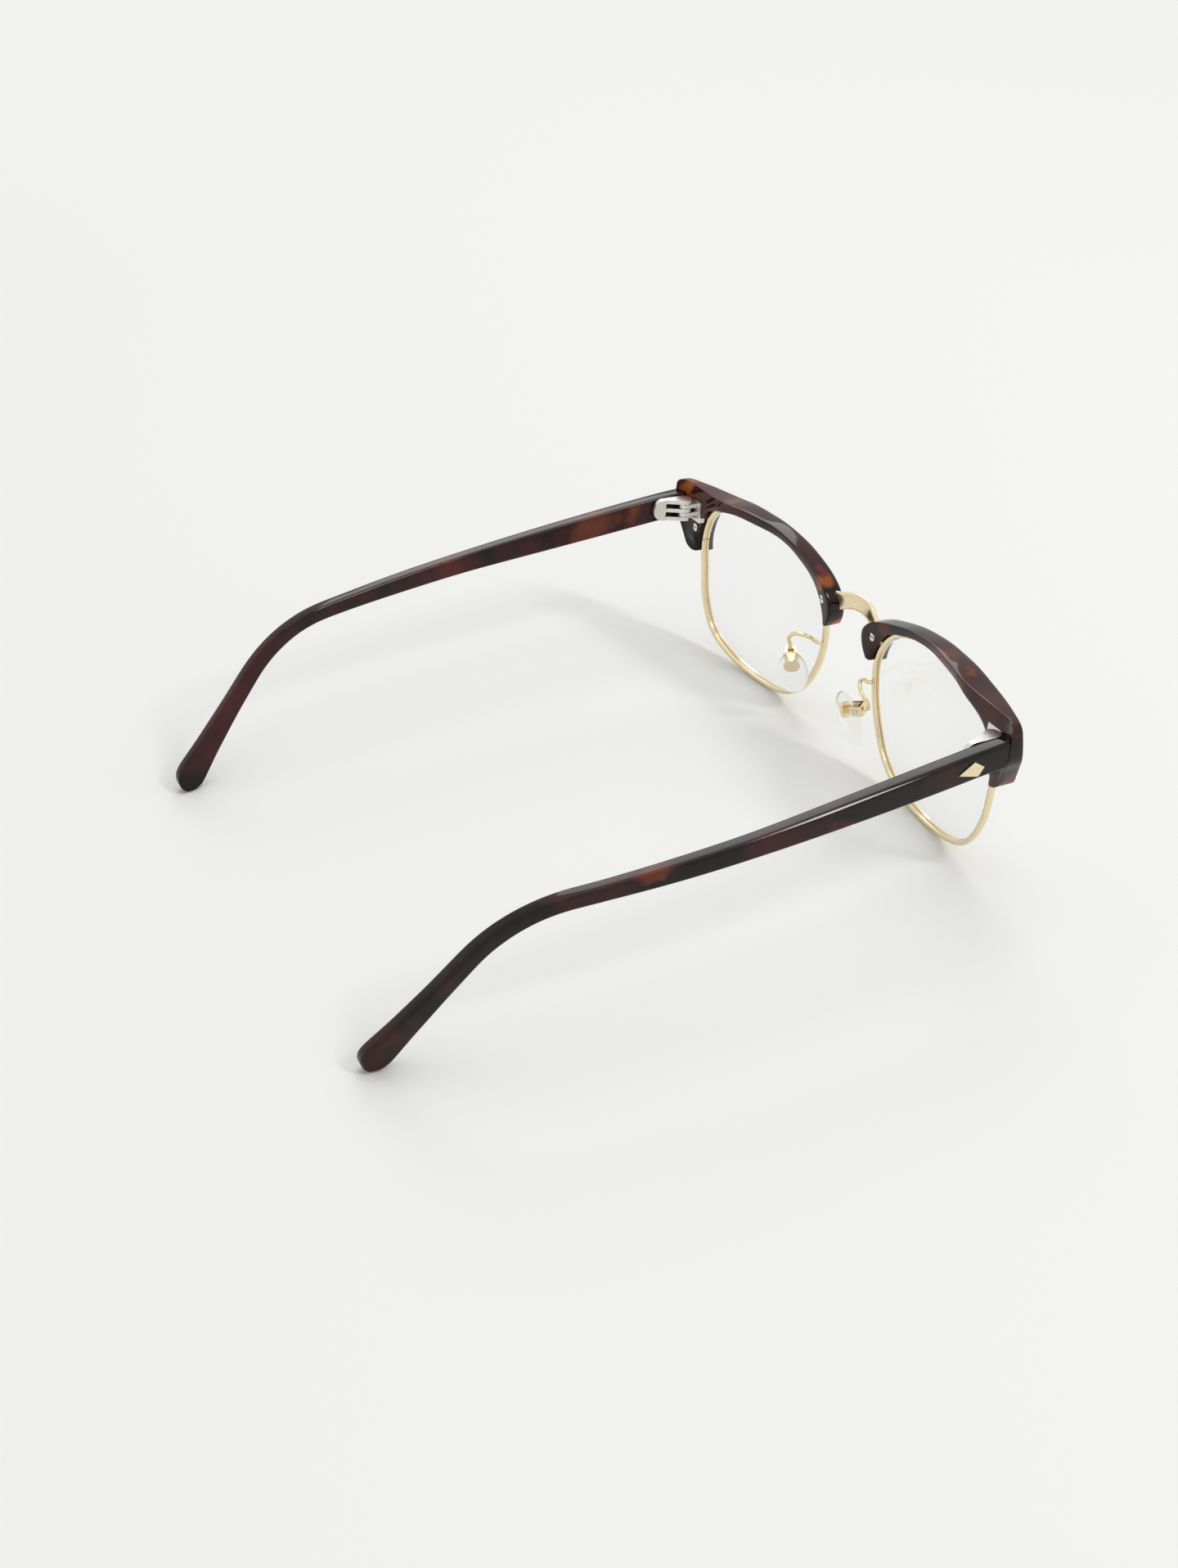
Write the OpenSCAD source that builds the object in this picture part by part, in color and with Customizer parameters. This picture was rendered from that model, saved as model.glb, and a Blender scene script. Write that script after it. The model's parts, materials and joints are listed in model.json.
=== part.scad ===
// Browline glasses: acetate brows over metal rims, five-barrel hinges, acetate temples.
// Units are millimetres. +X is the wearer's left, +Y runs back along the temples, +Z is up.
// The front is drawn square to its own axes (x across, y back, z up from the lens centre line)
// and then tipped and lifted so that rims and temple tips rest on z = 0.

/* [Lenses] */
// Width of one lens
lens_width = 49; // [44:0.5:56]
// Height of one lens
lens_height = 41; // [34:0.5:48]
// Gap between the two lenses
bridge_width = 21; // [16:0.5:25]
// Radius of the lens curve
lens_curve = 114; // [90:1:180]
// Thickness of a lens
lens_thickness = 1.8; // [1.4:0.1:2.4]
// Turn of each lens around the face, in degrees
lens_wrap = 4.9; // [0:0.1:8]

/* [Front] */
// Reach of the end piece beyond the lens
end_reach = 8.5; // [6.5:0.1:11]
// Forward lean of the top of the front, in degrees
front_tilt = 3.7; // [0:0.1:8]
// Thickness of the brow in front of the lens curve
brow_front = 3.2; // [2.6:0.1:4]
// Thickness of the end piece at the hinge, from the lens curve
brow_rear = 4.1; // [3.6:0.1:5]
// Height scale of the brow above the rim
brow_rise = 1; // [0.8:0.01:1.2]

/* [Rims] */
// Depth of the rim wire, front to back
rim_depth = 1.6; // [1.4:0.05:2]
// Height of the rim wire across the lens edge
rim_wire = 1.15; // [1:0.05:1.4]

/* [Bridge] */
// Height of the bridge strip at its middle
bridge_height = 4.1; // [3:0.1:5]
// Thickness of the bridge strip
bridge_thick = 1.2; // [0.9:0.05:1.6]

/* [Temples] */
// Length of a temple along its middle, from the hinge screw to the tip
temple_length = 150; // [130:1:160]
// Thickness of a temple at the hinge
temple_thick = 3.6; // [3.2:0.1:4.4]
// Height of a temple at the hinge
temple_height = 6.3; // [5.4:0.1:7.5]
// Downward bend behind the ear, in degrees
ear_bend = 44.5; // [30:0.5:55]
// Radius of the ear bend
ear_radius = 30; // [20:1:40]
// Inward set of the temple tip
tip_inset = 12; // [6:0.5:18]

/* [Hinges] */
// Radius of a hinge barrel
barrel_radius = 1.7; // [1.4:0.05:1.8]
// Length of one hinge barrel
barrel_length = 1; // [0.9:0.05:1.2]
// Radius of the hinge screw
screw_radius = 0.55; // [0.45:0.05:0.7]

/* [Nose pads] */
// Length of a nose pad
pad_length = 15; // [12:0.5:17]
// Width of a nose pad
pad_width = 7.6; // [6:0.2:9]
// Thickness of a nose pad
pad_thick = 2.6; // [2.2:0.1:3.2]

/* [Fits] */
// Radial clearance of the hinge and pad pivots
pivot_clearance = 0.04; // [0.02:0.01:0.08]
// Gap between neighbouring hinge barrels
barrel_gap = 0.1; // [0.06:0.01:0.15]
// Gap where temple and end piece meet
mitre_gap = 0.15; // [0.1:0.01:0.25]
// Clearance of parts that are pressed, screwed or glued together
seat_gap = 0.03; // [0.02:0.01:0.06]

/* [Node] */
// Sub-part to build

/* [Hidden] */
$fn = 48;
cut = 0.1; // overshoot of a cutting shape past the surface it opens

acetate = [0.20, 0.07, 0.05];
gold = [0.85, 0.72, 0.48];
steel = [0.78, 0.78, 0.78];
clear = [0.90, 0.95, 0.97, 0.35];

// Closed outline of a lens as radii at equal steps of angle, the size it measures, and its lift
outline_radii = [23.9, 25.5, 26.1, 23.3, 20.8, 20.8, 22.6, 24.7, 25.4,
                 24.1, 23.0, 22.6, 21.7, 20.6, 20.7, 22.0, 23.9, 24.0];
outline_box = [48.8, 41.05];
outline_lift = 2.4;
radii_step = 360 / len(outline_radii);

function wrapped(list, i) = list[(i % len(list) + len(list)) % len(list)];
// Smooth curve through four neighbouring values, at fraction f between b and c
function smooth(a, b, c, d, f) =
    b + 0.5 * f * (c - a + f * (2 * a - 5 * b + 4 * c - d + f * (3 * (b - c) + d - a)));
function outline_r(t) =
    let (s = t / radii_step, i = floor(s), f = s - i)
    smooth(wrapped(outline_radii, i - 1), wrapped(outline_radii, i),
           wrapped(outline_radii, i + 1), wrapped(outline_radii, i + 2), f);

lens_scale = [lens_width / outline_box.x, lens_height / outline_box.y];
lens_x = bridge_width / 2 + lens_width / 2;
outline_mid = [lens_x, outline_lift * lens_scale.y];
// Point of the lens edge at polar angle t
function edge(t) = outline_mid
    + outline_r(t) * [cos(t) * lens_scale.x, sin(t) * lens_scale.y];
// Outward direction of the lens edge
function edge_out(t) =
    let (d = edge(t + 1) - edge(t - 1), n = norm(d))
    [d.y / n, -d.x / n];
// Height of the lens curve behind the front plane at (x, z)
curve_x = lens_x - lens_curve * sin(lens_wrap);
curve_y = lens_curve * cos(lens_wrap);
function curve(x, z) =
    curve_y - sqrt(lens_curve * lens_curve - (x - curve_x) * (x - curve_x) - z * z);
// Point n outside the lens edge at angle t, w behind the lens curve
function at_edge(t, n, w) =
    let (p = edge(t) + n * edge_out(t))
    [p.x, curve(p.x, p.y) + w, p.y];

corner_x = bridge_width / 2 + lens_width + end_reach;
inner_x = corner_x - temple_thick;
pin_x = inner_x - barrel_radius - 0.3;
// Place on the lens curve that sets how far back the end piece reaches, as shares of the lens
seat_share = [39.5 / 49, 20 / 41];
seat_y = curve(bridge_width / 2 + seat_share.x * lens_width, seat_share.y * lens_height) + brow_rear;
pin_y = seat_y + barrel_radius + 0.5;
pin_z = edge(90).y - 4.9;
mitre_rise = 2 / 3.6;
hinge_height = 5 * barrel_length + 4 * barrel_gap;

// Faces of a swept skin: rings of m points, n rings, no caps
function skin(n, m, first = 0, flip = false) = [
    for (i = [0 : n - 2], j = [0 : m - 1])
        let (k = (j + 1) % m,
             a = first + i * m + j,
             b = first + i * m + k,
             c = first + (i + 1) * m + k,
             d = first + (i + 1) * m + j)
        flip ? [d, c, b, a] : [a, b, c, d]
];
function shifted(faces, by) = [for (f = faces) [for (v = f) v + by]];
function turned(faces) = [for (f = faces) [for (i = [len(f) - 1 : -1 : 0]) f[i]]];
function flat(lists) = [for (l = lists) for (v = l) v];

// Rim: wire section as [outward, back], groove towards the lens
rim_in = -0.38 * rim_wire;
rim_out = rim_in + rim_wire;
half_depth = rim_depth / 2;
groove_floor = rim_in + 0.45;
rim_section = [
    [rim_out, -0.62 * half_depth], [rim_out - 0.24, -half_depth],
    [rim_in, -half_depth], [rim_in, -0.56 * half_depth],
    [groove_floor, -0.38 * half_depth], [groove_floor, 0.38 * half_depth],
    [rim_in, 0.56 * half_depth], [rim_in, half_depth],
    [rim_out - 0.24, half_depth], [rim_out, 0.62 * half_depth]
];
rim_cap = [[1, 2, 3, 4], [5, 6, 7, 8], [0, 1, 4, 5, 8, 9]];
rim_rings = 76;
lock_angle = 18;
lock_split = 0.5;

module rim_shape() {
    m = len(rim_section);
    step = (360 - lock_split) / (rim_rings - 1);
    rings = [for (i = [0 : rim_rings - 1])
        let (t = lock_angle + lock_split / 2 + i * step)
        [for (s = rim_section) at_edge(t, s[0], s[1])]];
    polyhedron(
        points = flat(rings),
        faces = concat(skin(rim_rings, m), turned(rim_cap),
                       shifted(rim_cap, (rim_rings - 1) * m)),
        convexity = 8);
}

// Clear of both rim ends: turned blocks beside the wire, joined by a small screw
lock_width = 2.3;
lock_depth = 1.9;
lock_y = -0.25;
module at_lock(n = 0) {
    p = edge(lock_angle);
    d = edge_out(lock_angle);
    translate([p.x, curve(p.x, p.y) + lock_y, p.y])
        rotate([0, -atan2(d.y, d.x), 0])
            translate([n, 0, 0])
                children();
}
lock_low = 1.6;
lock_high = 4.4;
lock_slit = 0.3;
lock_start = rim_out + 0.12;
lock_screw_x = lock_start + lock_width * 0.56;
lock_screw_radius = 0.4;
lock_head_radius = 0.75;

module lock_blocks() {
    difference() {
        union() {
            at_lock(lock_start)
                translate([0, -lock_depth / 2, lock_slit / 2])
                    cube([lock_width, lock_depth, lock_high]);
            at_lock(lock_start)
                translate([0, -lock_depth / 2, -lock_slit / 2 - lock_low])
                    cube([lock_width, lock_depth, lock_low]);
        }
        at_lock(lock_screw_x)
            translate([0, 0, -lock_low - lock_slit])
                cylinder(h = lock_low + lock_slit + 2, r = lock_screw_radius + seat_gap);
        at_lock(lock_screw_x)
            translate([0, 0, -lock_slit / 2 - lock_low - cut])
                cylinder(h = 0.6 + cut, r = lock_head_radius + seat_gap);
        lobe_screw_place()
            cylinder(h = 20, r = brow_screw_radius + seat_gap, center = true);
    }
}

module lock_screw_shape() {
    at_lock(lock_screw_x)
        translate([0, 0, -lock_slit / 2 - lock_low])
            difference() {
                union() {
                    cylinder(h = lock_low + lock_slit + 1.6, r = lock_screw_radius);
                    cylinder(h = 0.55, r = lock_head_radius);
                }
                translate([-1, -0.12, -cut])
                    cube([2, 0.24, 0.3]);
            }
}

// Lens: middle sheet and a thin ridge that sits in the rim groove
lens_steps = 72;
module outline_prism(n) {
    rotate([90, 0, 0])
        linear_extrude(height = 60, center = true)
            polygon([for (i = [0 : lens_steps - 1])
                let (t = i * 360 / lens_steps)
                edge(t) + n * edge_out(t)]);
}
module curve_shell(thick) {
    translate([curve_x, curve_y, 0])
        difference() {
            sphere(r = lens_curve + thick / 2, $fn = 96);
            sphere(r = lens_curve - thick / 2, $fn = 96);
        }
}
module lens_shape() {
    intersection() {
        outline_prism(rim_in - 0.08);
        curve_shell(lens_thickness);
    }
    intersection() {
        outline_prism(groove_floor - 0.04);
        curve_shell(0.5 * half_depth);
    }
}

// Brow: each row is an angle on the lens edge and the step from there to the outer edge
brow_knots = [
    [164, -2.4, 0.2], [160, -3.9, 0.5], [155, -5.3, 0.9], [149, -6.4, 1.2], [144, -5.8, 1.9],
    [136, -4.8, 1.6], [127, -3.4, 1.4], [113, -2.0, 1.7], [96, -0.3, 2.4], [76, -0.1, 2.6],
    [60, 0.8, 2.6], [50, 3.5, 3.2], [41, 6.4, 5.0], [36, 9.0, 6.6], [32, 10.5, 6.4],
    [27, 9.8, 5.3], [22, 8.9, 4.2], [18, 7.2, 3.2], [15, 5.9, 1.7], [12, 4.6, 0.4], [10, 2.2, 0.1]
];
drawn_reach = 8.5; // end reach at which these rows are drawn
knot_last = len(brow_knots) - 1;
brow_rings = 56;
function brow_knot(s) =
    let (i = min(floor(s), knot_last - 1), f = s - i)
    smooth(brow_knots[max(i - 1, 0)], brow_knots[i], brow_knots[i + 1],
           brow_knots[min(i + 2, knot_last)], f);
// Depth of the rear face at (x, z), before the mitre: thin at the nose, flat at the hinge
function rear_depth(t, x, z) =
    let (k = t > 100 ? 1.8 : t > 50 ? 1.8 + (100 - t) * (brow_rear - 1.8) / 50
           : t > 24 ? brow_rear : 2.1 + max(t - 14, 0) * (brow_rear - 2.1) / 10)
    min(seat_y, curve(x, z) + k);
function mitre(x) = max(0, x - inner_x) * mitre_rise;
channel_gap = 0.1;
lip_in = 0.1;

function brow_ring(s) =
    let (
        k = brow_knot(s),
        t = k[0],
        p = edge(t),
        o = [p.x + k[1] * end_reach / drawn_reach, p.y + k[2] * brow_rise],
        d = (o - p) / norm(o - p),
        h = norm(o - p),
        skew = 1 / max(0.6, d * edge_out(t)),
        inner = min((rim_out + channel_gap) * skew, h - 0.7),
        front_in = -half_depth - channel_gap,
        rear_in = half_depth + channel_gap,
        low = min((rim_out + 0.3) * skew, h - 0.75),
        rear_low = [p.x + low * d.x, p.y + low * d.y],
        mx = min(o.x, inner_x),
        m = max(low + 0.2, min(h - 0.35, d.x > 0.2 ? (mx - p.x) / d.x : h * 0.6)),
        at = function (n, w) [p.x + n * d.x, curve(p.x + n * d.x, p.y + n * d.y) + w, p.y + n * d.y],
        rear = function (n, back) let (x = p.x + n * d.x, z = p.y + n * d.y)
            [x, rear_depth(t, x, z) + mitre(x) - back, z]
    )
    [
        at(lip_in, front_in),
        at(lip_in + 0.1, -brow_front + 0.7),
        at(0.6, -brow_front),
        at(h - 0.9, -brow_front),
        at(h - 0.2, -brow_front + 0.5),
        at(h, -brow_front + 1.2),
        rear(h, 0.5),
        rear(h - 0.25, 0),
        rear(m, 0),
        rear(low + 0.15, 0),
        rear(low, 0.35),
        at(low, rear_in),
        at(inner, rear_in),
        at(inner, front_in)
    ];
brow_cap = [[0, 1, 2, 13], [2, 3, 13], [3, 12, 13], [3, 4, 5, 6, 12], [6, 7, 8, 12],
            [8, 9, 12], [9, 10, 11, 12]];

module brow_sweep() {
    m = 14;
    rings = [for (i = [0 : brow_rings - 1]) brow_ring(i * knot_last / (brow_rings - 1))];
    polyhedron(
        points = flat(rings),
        faces = concat(skin(brow_rings, m), turned(brow_cap),
                       shifted(brow_cap, (brow_rings - 1) * m)),
        convexity = 10);
}

// Screws that hold a brow: into the bridge end and into the upper lock block
nose_screw = [bridge_width / 2 - 0.3, 15.9 * lens_scale.y];
function rear_at(t, x, z) = rear_depth(t, x, z) + mitre(x);
lobe_point = edge(24) + [1.6, 0.6];
module nose_screw_place() {
    translate([nose_screw.x, rear_at(150, nose_screw.x, nose_screw.y), nose_screw.y])
        rotate([90, 0, 0])
            children();
}
module lobe_screw_place() {
    translate([lobe_point.x, rear_at(21, lobe_point.x, lobe_point.y), lobe_point.y])
        rotate([90, 0, 0])
            children();
}
brow_screw_length = 2.9;
brow_screw_radius = 0.5;
brow_head_radius = 1;
brow_head_height = 0.6;
module brow_screw_shape() {
    difference() {
        union() {
            translate([0, 0, 0.1])
                cylinder(h = brow_head_height, r1 = brow_head_radius, r2 = brow_screw_radius);
            translate([0, 0, 0.1])
                cylinder(h = brow_screw_length, r = brow_screw_radius);
        }
        translate([-1.2, -0.13, -cut])
            cube([2.4, 0.26, 0.42]);
    }
}
module brow_screw_hole() {
    translate([0, 0, -1])
        cylinder(h = brow_screw_length + 1.3, r = brow_screw_radius + seat_gap);
    translate([0, 0, 0.1])
        cylinder(h = brow_head_height, r1 = brow_head_radius + seat_gap,
                 r2 = brow_screw_radius + seat_gap);
    translate([0, 0, -1])
        cylinder(h = 1.1, r = brow_head_radius + seat_gap);
}

module brow_shape() {
    difference() {
        brow_sweep();
        bridge_body(seat_gap);
        nose_screw_place()
            brow_screw_hole();
        lobe_screw_place()
            brow_screw_hole();
        hinge_plate(seat_gap);
        lock_pocket();
    }
}
// Room for the lock blocks inside the lobe, open towards the rim
module lock_pocket() {
    room = 0.1;
    at_lock(rim_in)
        translate([0, -lock_depth / 2 - room, -lock_slit / 2 - lock_low - room])
            cube([lock_start - rim_in + lock_width + room, lock_depth + 2 * room,
                  lock_low + lock_slit + lock_high + 2 * room]);
}

// Bridge: a strip that arches forward and up between the rims, its ends inside the brows
bridge_rows = [
    // x, middle y, top z, height
    [0, -1.1, 20.2, 4.1], [3, -0.85, 19.9, 4.2], [5.5, -0.2, 19.2, 4.5], [7.6, 0.5, 18.6, 4.8],
    [9.6, 1.1, 18.1, 4.6], [11.2, 1.35, 17.3, 3.6], [12.3, 1.5, 16.4, 2.4]
];
bridge_last = len(bridge_rows) - 1;
drawn_height = 4.1; // strip height at which these rows are drawn
bridge_stretch = bridge_width / 21;
function bridge_row(s) =
    let (a = abs(s), i = min(floor(a), bridge_last - 1), f = a - i)
    smooth(i == 0 ? [-bridge_rows[1][0], bridge_rows[1][1], bridge_rows[1][2], bridge_rows[1][3]]
                  : bridge_rows[i - 1],
           bridge_rows[i], bridge_rows[i + 1], bridge_rows[min(i + 2, bridge_last)], f);
module bridge_body(grow = 0) {
    half = bridge_thick / 2 + grow;
    rings = [for (i = [-14 : 14])
        let (s = i * bridge_last / 14,
             r = bridge_row(s),
             x = sign(s) * r[0] * bridge_stretch,
             top = r[2] * lens_scale.y + grow,
             low = top - r[3] * bridge_height / drawn_height - 2 * grow,
             e = 0.3)
        [[x, r[1] - half + e, top], [x, r[1] + half - e, top], [x, r[1] + half, top - e],
         [x, r[1] + half, low + e], [x, r[1] + half - e, low], [x, r[1] - half + e, low],
         [x, r[1] - half, low + e], [x, r[1] - half, top - e]]];
    polyhedron(
        points = flat(rings),
        faces = concat(skin(29, 8), [[7, 6, 5, 4, 3, 2, 1, 0]],
                       shifted([[0, 1, 2, 3, 4, 5, 6, 7]], 28 * 8)),
        convexity = 4);
}
module bridge_shape() {
    difference() {
        bridge_body();
        nose_screw_place()
            brow_screw_hole();
        mirror([1, 0, 0])
            nose_screw_place()
                brow_screw_hole();
        rim_clear();
        mirror([1, 0, 0])
            rim_clear();
    }
}
module rim_clear() {
    outline_prism(rim_out + seat_gap);
}

// Hinge: plate let into the rear of the end piece, two barrels; three barrels on the temple
plate_left = pin_x - barrel_radius - 2.4;
plate_width = inner_x - 0.5 - plate_left;
plate_thick = 1.5;
module hinge_plate(grow = 0) {
    translate([plate_left - grow, seat_y - plate_thick + 0.1 - grow, pin_z - hinge_height / 2 - grow])
        cube([plate_width + 2 * grow, plate_thick + 2 * grow, hinge_height + 2 * grow]);
}
function barrel_z(i) = pin_z - hinge_height / 2 + i * (barrel_length + barrel_gap);
module hinge_front_shape() {
    difference() {
        union() {
            hinge_plate();
            for (i = [1, 3]) {
                translate([pin_x, pin_y, barrel_z(i)])
                    cylinder(h = barrel_length, r = barrel_radius);
                translate([pin_x - barrel_radius, seat_y + 0.05, barrel_z(i)])
                    cube([2 * barrel_radius, pin_y - seat_y - 0.05, barrel_length]);
            }
        }
        translate([pin_x, pin_y, pin_z - hinge_height])
            cylinder(h = 2 * hinge_height, r = screw_radius + pivot_clearance);
    }
}

leaf_length = 8.2;
slot_length = 5;
rivet_depth = 1;
rivet_radius = 0.55;
module leaf_plan() {
    translate([pin_x, pin_y])
        circle(r = barrel_radius);
    polygon([
        [inner_x - seat_gap, pin_y - 0.4], [inner_x - seat_gap, pin_y + leaf_length],
        [inner_x - 1.1, pin_y + leaf_length], [inner_x - 1.5, pin_y + 4.5],
        [pin_x - barrel_radius * 0.82, pin_y + 1], [pin_x, pin_y]
    ]);
}
module leaf_side() {
    translate([-barrel_radius - 1, -hinge_height / 2])
        square([leaf_length - hinge_height / 2 + barrel_radius + 1, hinge_height]);
    translate([leaf_length - hinge_height / 2, 0])
        circle(r = hinge_height / 2);
}
module hinge_temple_shape() {
    difference() {
        union() {
            intersection() {
                translate([0, 0, pin_z - hinge_height / 2])
                    linear_extrude(height = hinge_height)
                        leaf_plan();
                translate([0, pin_y, pin_z])
                    rotate([90, 0, 90])
                        linear_extrude(height = corner_x)
                            leaf_side();
            }
            rivet_pins();
        }
        for (i = [1, 3])
            translate([pin_x - 2 * barrel_radius, pin_y - 3 * barrel_radius, barrel_z(i) - barrel_gap])
                cube([4 * barrel_radius, 3 * barrel_radius + slot_length, barrel_length + 2 * barrel_gap]);
        translate([pin_x, pin_y, 0])
            screw_body(seat_gap / 2);
    }
}
module rivet_pins(grow = 0) {
    for (z = [-1.3, 1.3])
        translate([inner_x - 0.5, pin_y + 6.4, pin_z + z])
            rotate([0, 90, 0])
                cylinder(h = 0.5 + rivet_depth + grow, r = rivet_radius + grow);
}

head_radius = 1;
module screw_body(grow = 0) {
    top = pin_z + hinge_height / 2;
    translate([0, 0, top - hinge_height - (grow > 0 ? cut : 0)])
        cylinder(h = hinge_height - 0.1 + (grow > 0 ? cut : 0), r = screw_radius + grow);
    translate([0, 0, top - 0.55])
        cylinder(h = 0.55 + (grow > 0 ? cut : 0), r = head_radius + grow);
}
module hinge_screw_shape() {
    difference() {
        translate([pin_x, pin_y, 0])
            screw_body();
        translate([pin_x - 1.5, pin_y - 0.13, pin_z + hinge_height / 2 - 0.3])
            cube([3, 0.26, 1]);
    }
}

// Temple: path in the world frame, starting level with the hinge screw
tilt_cos = cos(front_tilt);
tilt_sin = sin(front_tilt);
pin_world = [pin_y * tilt_cos - pin_z * tilt_sin, pin_y * tilt_sin + pin_z * tilt_cos];
temple_slope = 3;
path_start = pin_world + [0, 0.35];
arc_length = ear_radius * ear_bend * PI / 180;
tip_length = temple_length * 0.2;
straight_length = temple_length - arc_length - tip_length;
arc_start = path_start + straight_length * [cos(temple_slope), -sin(temple_slope)];
function arc_angle(s) = temple_slope + ear_bend * min(1, max(0, (s - straight_length) / arc_length));
function path(s) =
    s <= straight_length ? path_start + s * [cos(temple_slope), -sin(temple_slope)]
    : let (a = arc_angle(s),
           p = arc_start + ear_radius * [sin(a) - sin(temple_slope), cos(a) - cos(temple_slope)])
      p + max(0, s - straight_length - arc_length) * [cos(a), -sin(a)];

// Height of the temple at fractions of its length
height_knots = [
    [0, 6.3], [0.13, 6.2], [0.25, 5.7], [0.4, 4.6], [0.5, 4.25], [0.6, 3.6], [0.7, 3.5],
    [0.78, 3.8], [0.86, 4.3], [0.93, 5.5], [1, 7.6]
];
function height_at(f) = lookup(f, height_knots) * temple_height / height_knots[0][1];
tip_round = 4.4;
function half_height(s) =
    let (e = max(0, s - (temple_length - tip_round)) / tip_round)
    0.5 * height_at(s / temple_length) * sqrt(max(0, 1 - e * e));
bow_y = pin_world.x + 50;
bow_out = 0.8;
reach_y = path(temple_length).x - bow_y;
function outer_x(y) =
    y < bow_y ? corner_x + bow_out - bow_out * pow((bow_y - y) / 50, 2)
              : corner_x + bow_out - (tip_inset + bow_out) * pow((y - bow_y) / reach_y, 2);
function thick_at(s) = temple_thick - 0.6 * s / temple_length;

// Twelve-sided ring at s: x across the thickness, height across the path
bevel_out = 0.8;
bevel_in = 0.55;
function temple_ring(s, h) =
    let (
        c = path(s),
        a = arc_angle(s),
        up = [sin(a), cos(a)],
        x = outer_x(c.x),
        t = thick_at(s),
        v = min(bevel_out, h * 0.45),
        u = min(bevel_in, h * 0.35)
    )
    [for (q = [
        [x, h - v * 1.1], [x - v * 0.35, h - v * 0.35], [x - v * 1.1, h],
        [x - t + u, h], [x - t + u * 0.3, h - u * 0.3], [x - t, h - u],
        [x - t, -h + u], [x - t + u * 0.3, -h + u * 0.3], [x - t + u, -h],
        [x - v * 1.1, -h], [x - v * 0.35, -h + v * 0.35], [x, -h + v * 1.1]
    ]) [q[0], c.x + q[1] * up.x, c.y + q[1] * up.y]];

// Front end of the temple, cut along the mitre in the front's own axes
function mitre_y(x, z) =
    let (back = seat_y + max(0, x - inner_x) * mitre_rise + mitre_gap / cos(atan(mitre_rise)))
    (back - tilt_sin * z) / tilt_cos;
function mitred(ring) = [for (p = ring) [p.x, mitre_y(p.x, p.z), p.z]];

core_half = [0.6, 1.1];
core_end = 0.9;
core_x = 0.5;
function core_ring(s, grow) =
    let (
        c = path(s),
        a = arc_angle(s),
        up = [sin(a), cos(a)],
        x = outer_x(c.x) - thick_at(s) * core_x,
        g = core_half.x + grow,
        h = core_half.y + grow,
        e = 0.35
    )
    [for (q = [
        [x + g, h - e], [x + g - e, h], [x - g + e, h], [x - g, h - e],
        [x - g, -h + e], [x - g + e, -h], [x + g - e, -h], [x + g, -h + e]
    ]) [q[0], c.x + q[1] * up.x, c.y + q[1] * up.y]];

first_s = 4;
function spread(n, last) = [
    for (i = [0 : n - 1])
        let (f = i / (n - 1))
        f < 0.45 ? first_s + (straight_length - 6 - first_s) * f / 0.45
                 : straight_length - 6 + (last - straight_length + 6) * (f - 0.45) / 0.55
];
end_steps = [0.3, 0.55, 0.75, 0.9, 0.975];
temple_stations = concat(spread(26, temple_length - tip_round),
                         [for (e = end_steps) temple_length - tip_round * (1 - e)]);
core_stations = spread(20, temple_length * core_end);

// Quads between a 12-point front ring and an 8-point core opening, as triangles
front_cap = [
    [0, 1, 13], [0, 13, 12], [1, 2, 13], [2, 3, 13], [3, 14, 13], [3, 4, 14], [4, 5, 14],
    [5, 15, 14], [5, 6, 15], [6, 16, 15], [6, 7, 16], [7, 8, 16], [8, 17, 16], [8, 9, 17],
    [9, 18, 17], [9, 10, 18], [10, 11, 18], [11, 19, 18], [11, 0, 19], [0, 12, 19]
];

module temple_skin() {
    outer = [for (s = temple_stations) temple_ring(s, half_height(s))];
    inner = [for (s = core_stations) core_ring(s, seat_gap)];
    n = len(outer);
    k = len(inner);
    rings = concat([mitred(outer[0])], outer);
    holes = concat([mitred(inner[0])], inner);
    base = (n + 1) * 12;
    map = function (v) v < 12 ? v : base + v - 12;
    polyhedron(
        points = concat(flat(rings), flat(holes)),
        faces = concat(
            skin(n + 1, 12, 0),
            [[for (j = [0 : 11]) n * 12 + j]],
            skin(k + 1, 8, base, true),
            [[for (j = [7 : -1 : 0]) base + k * 8 + j]],
            [for (f = turned(front_cap)) [for (v = f) map(v)]]),
        convexity = 8);
}
module temple_shape() {
    difference() {
        temple_skin();
        tilted()
            rivet_pins(seat_gap);
        plaque_pins(seat_gap);
    }
}
module temple_core_shape() {
    rings = [for (s = core_stations) core_ring(s, 0)];
    k = len(rings);
    all = concat([mitred(rings[0])], rings);
    polyhedron(
        points = flat(all),
        faces = concat(skin(k + 1, 8, 0), [[for (j = [7 : -1 : 0]) j]],
                       [[for (j = [0 : 7]) k * 8 + j]]),
        convexity = 4);
}

// Plaque: kite of thin metal on the outer face, held by two small pins
plaque_start = 6.2;
plaque_length = 6.3;
plaque_half = 1.9;
plaque_thick = 0.4;
plaque_pin_radius = 0.35;
plaque_face = outer_x(path(plaque_start + 3).x) + seat_gap;
module plaque_place() {
    c = path(plaque_start);
    translate([plaque_face, c.x, c.y])
        rotate([0, 0, -0.9])
            rotate([-temple_slope, 0, 0])
                children();
}
module plaque_pins(grow = 0) {
    plaque_place()
        for (y = [1.7, 4.1])
            translate([0.1, y, 0])
                rotate([0, -90, 0])
                    cylinder(h = 1.1 + grow, r = plaque_pin_radius + grow);
}
module plaque_shape() {
    plaque_place()
        rotate([90, 0, 90])
            linear_extrude(height = plaque_thick)
                polygon([[0, 0], [2.4, plaque_half], [plaque_length, -0.1], [1.5, -plaque_half]]);
    plaque_pins();
}

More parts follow.
